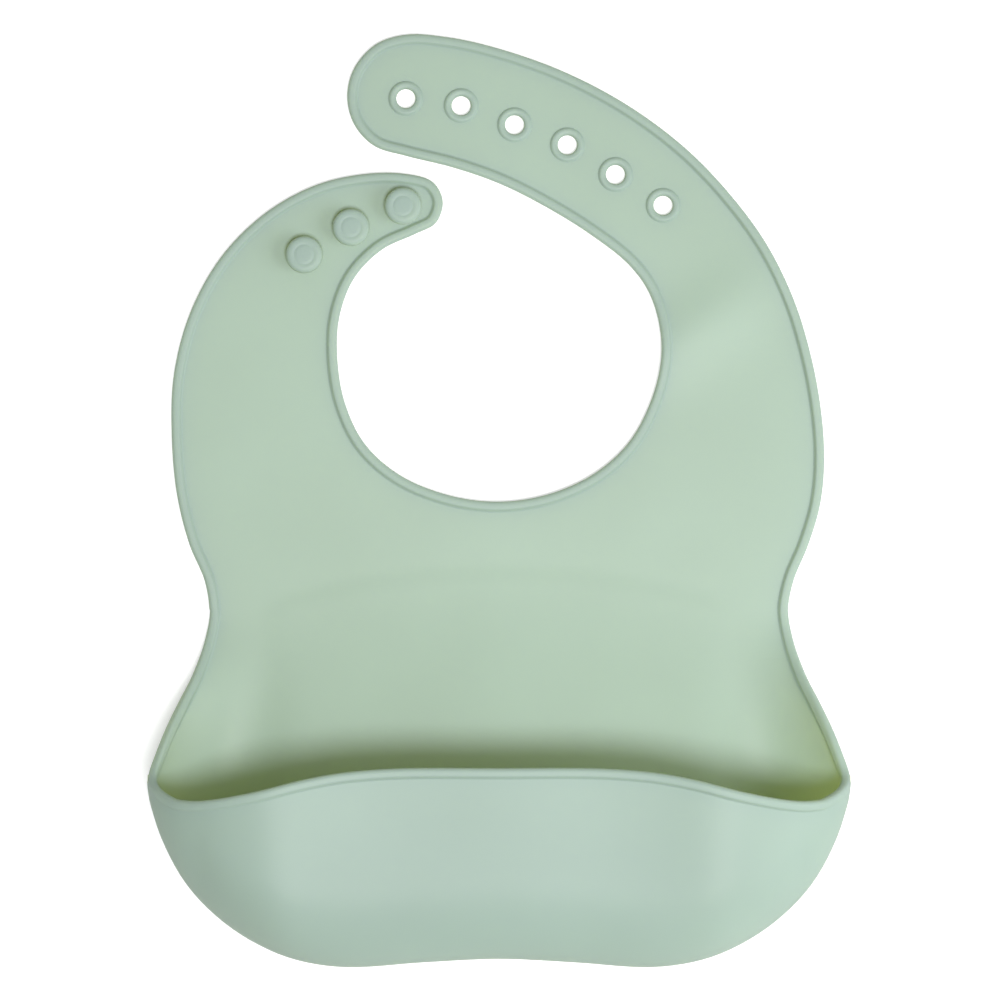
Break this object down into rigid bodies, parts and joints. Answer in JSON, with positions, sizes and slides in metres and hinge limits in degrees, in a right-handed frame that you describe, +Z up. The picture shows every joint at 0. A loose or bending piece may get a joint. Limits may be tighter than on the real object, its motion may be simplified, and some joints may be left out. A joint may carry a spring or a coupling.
{
  "type": "silicone bib",
  "caption": "Moulded silicone baby bib with a round neck opening, a long strap with holes, a short strap with studs, and a deep food pocket.",
  "frame": {"origin": "centre of the bib's box on the surface it lies on, with the bib flat on its back", "axes": "+Y from the pocket towards the straps, +Z up, out of the bib's front, +X to the right seen from the front"},
  "size_m": [0.2258, 0.3001, 0.0469],
  "materials": {
    "silicone": "matte sage green silicone"
  },
  "bodies": {
    "chest": {"chest_panel": "silicone", "shoulder_left": "silicone", "shoulder_right": "silicone"},
    "pocket": {"lower_panel": "silicone", "rim_left": "silicone", "rim_right": "silicone", "pocket_back": "silicone", "pocket_floor": "silicone", "pocket_side_left": "silicone", "pocket_side_right": "silicone", "lip_left": "silicone", "lip_right": "silicone"},
    "pocket_wall": {"pocket_front": "silicone", "pocket_lip": "silicone"},
    "long_strap_1": {"long_strap_root": "silicone", "eyelet_6": "silicone"},
    "long_strap_2": {"long_strap_middle": "silicone", "eyelet_3": "silicone", "eyelet_4": "silicone", "eyelet_5": "silicone"},
    "long_strap_3": {"long_strap_tip": "silicone", "eyelet_1": "silicone", "eyelet_2": "silicone"},
    "short_strap_1": {"short_strap_root": "silicone", "stud_1": "silicone"},
    "short_strap_2": {"short_strap_tip": "silicone", "stud_2": "silicone", "stud_3": "silicone"}
  },
  "joints": [
    {"name": "waist_fold", "type": "hinge", "parent": "chest", "child": "pocket", "pos_m": [0, -0.036, 0.00145], "axis": [-1, 0, 0], "range_deg": [-35, 45], "stiffness_Nm_per_rad": 0.12},
    {"name": "pocket_wall_flex", "type": "hinge", "parent": "pocket", "child": "pocket_wall", "pos_m": [0, -0.125, 0.041], "axis": [1, 0, 0], "range_deg": [-30, 20], "stiffness_Nm_per_rad": 0.08},
    {"name": "long_strap_bend", "type": "hinge", "parent": "chest", "child": "long_strap_1", "pos_m": [0.071, 0.066, 0.00145], "axis": [0.9171, 0.3987, 0], "range_deg": [-40, 40], "stiffness_Nm_per_rad": 0.04},
    {"name": "long_strap_bend_middle", "type": "hinge", "parent": "long_strap_1", "child": "long_strap_2", "pos_m": [0.0454, 0.0997, 0.00145], "axis": [0.5443, 0.8389, 0], "range_deg": [-40, 40], "stiffness_Nm_per_rad": 0.03},
    {"name": "long_strap_bend_end", "type": "hinge", "parent": "long_strap_2", "child": "long_strap_3", "pos_m": [-0.0028, 0.1262, 0.00145], "axis": [0.3375, 0.9413, 0], "range_deg": [-40, 40], "stiffness_Nm_per_rad": 0.02},
    {"name": "short_strap_bend", "type": "hinge", "parent": "chest", "child": "short_strap_1", "pos_m": [-0.078, 0.054, 0.00145], "axis": [0.9682, -0.2501, 0], "range_deg": [-40, 40], "stiffness_Nm_per_rad": 0.03},
    {"name": "short_strap_bend_end", "type": "hinge", "parent": "short_strap_1", "child": "short_strap_2", "pos_m": [-0.0559, 0.0845, 0.00145], "axis": [0.5004, -0.8658, 0], "range_deg": [-40, 40], "stiffness_Nm_per_rad": 0.02}
  ],
  "couplings": [
    {"joint": "long_strap_bend_middle", "follows": "long_strap_bend", "ratio": 1},
    {"joint": "long_strap_bend_end", "follows": "long_strap_bend", "ratio": 1},
    {"joint": "short_strap_bend_end", "follows": "short_strap_bend", "ratio": 1}
  ]
}
